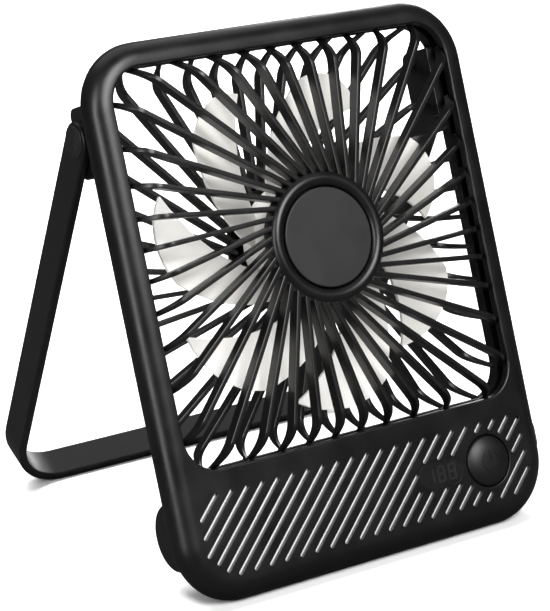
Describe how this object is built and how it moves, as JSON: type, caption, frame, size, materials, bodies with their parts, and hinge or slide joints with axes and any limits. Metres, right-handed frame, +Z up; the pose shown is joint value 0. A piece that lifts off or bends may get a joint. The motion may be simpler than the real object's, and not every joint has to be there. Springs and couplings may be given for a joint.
{
  "type": "desk fan",
  "caption": "Slim folding desk fan: a flat rounded-rectangle body with a swirl-ribbed grille over a bladed rotor, a slatted control panel below it and a U-shaped folding stand behind.",
  "frame": {"origin": "bottom centre of the standing fan, on the surface it stands on, midway between its foremost and rearmost points", "axes": "+X to the right when looking at the front, +Y to the rear, +Z up; the front faces -Y"},
  "size_m": [0.151, 0.14, 0.1752],
  "materials": {
    "satin_black": "satin moulded, finely textured",
    "matt_black": "matt moulded",
    "button_black": "smooth satin dome",
    "silver_plate": "brushed bright",
    "dark_window": "smoked, smooth",
    "white_guide": "white light guide",
    "circuit_board": "green solder resist",
    "black_nylon": "plain",
    "steel": "plated, plain",
    "cell_sleeve": "shrink sleeve",
    "nickel": "nickel plated strip",
    "brass": "turned",
    "copper_wire": "enamelled copper wire",
    "black_screw": "black oxide",
    "white_nylon": "natural nylon",
    "ivory": "smooth, slightly translucent",
    "magnet": "bonded ferrite"
  },
  "bodies": {
    "body": {"front_frame": "satin_black", "front_grille": "satin_black", "hub_disc": "matt_black", "accent_plate": "silver_plate", "display_window": "dark_window", "display_module": "white_guide", "control_board": "circuit_board", "tact_switch": "black_nylon", "usb_socket": "steel", "rear_housing": "satin_black", "battery_cells": "cell_sleeve", "battery_straps": "nickel", "motor_board": "circuit_board", "bearing_tube": "brass", "motor_bearings": "steel", "stator_core": "steel", "stator_coils": "copper_wire", "housing_screws": "black_screw", "board_screws": "steel", "friction_bushes": "white_nylon", "spring_washers": "steel"},
    "button": {"power_button": "button_black"},
    "rotor": {"impeller": "ivory", "rotor_cup": "steel", "magnet_ring": "magnet", "motor_shaft": "steel"},
    "stand": {"stand_bar": "satin_black", "hinge_pins": "matt_black", "retaining_clips": "steel"}
  },
  "joints": [
    {"name": "stand_hinge", "type": "hinge", "parent": "body", "child": "stand", "pos_m": [0, -0.00297, 0.14514], "axis": [1, 0, 0], "range_deg": [-45.2, 134.8]},
    {"name": "rotor_spin", "type": "hinge", "parent": "body", "child": "rotor", "pos_m": [0, -0.02283, 0.1023], "axis": [0, -0.9396, 0.3421], "continuous": true},
    {"name": "button_press", "type": "slide", "parent": "body", "child": "button", "axis": [0, 0.9396, -0.3421], "range_m": [0, 0.0004], "stiffness_N_per_m": 1200}
  ]
}
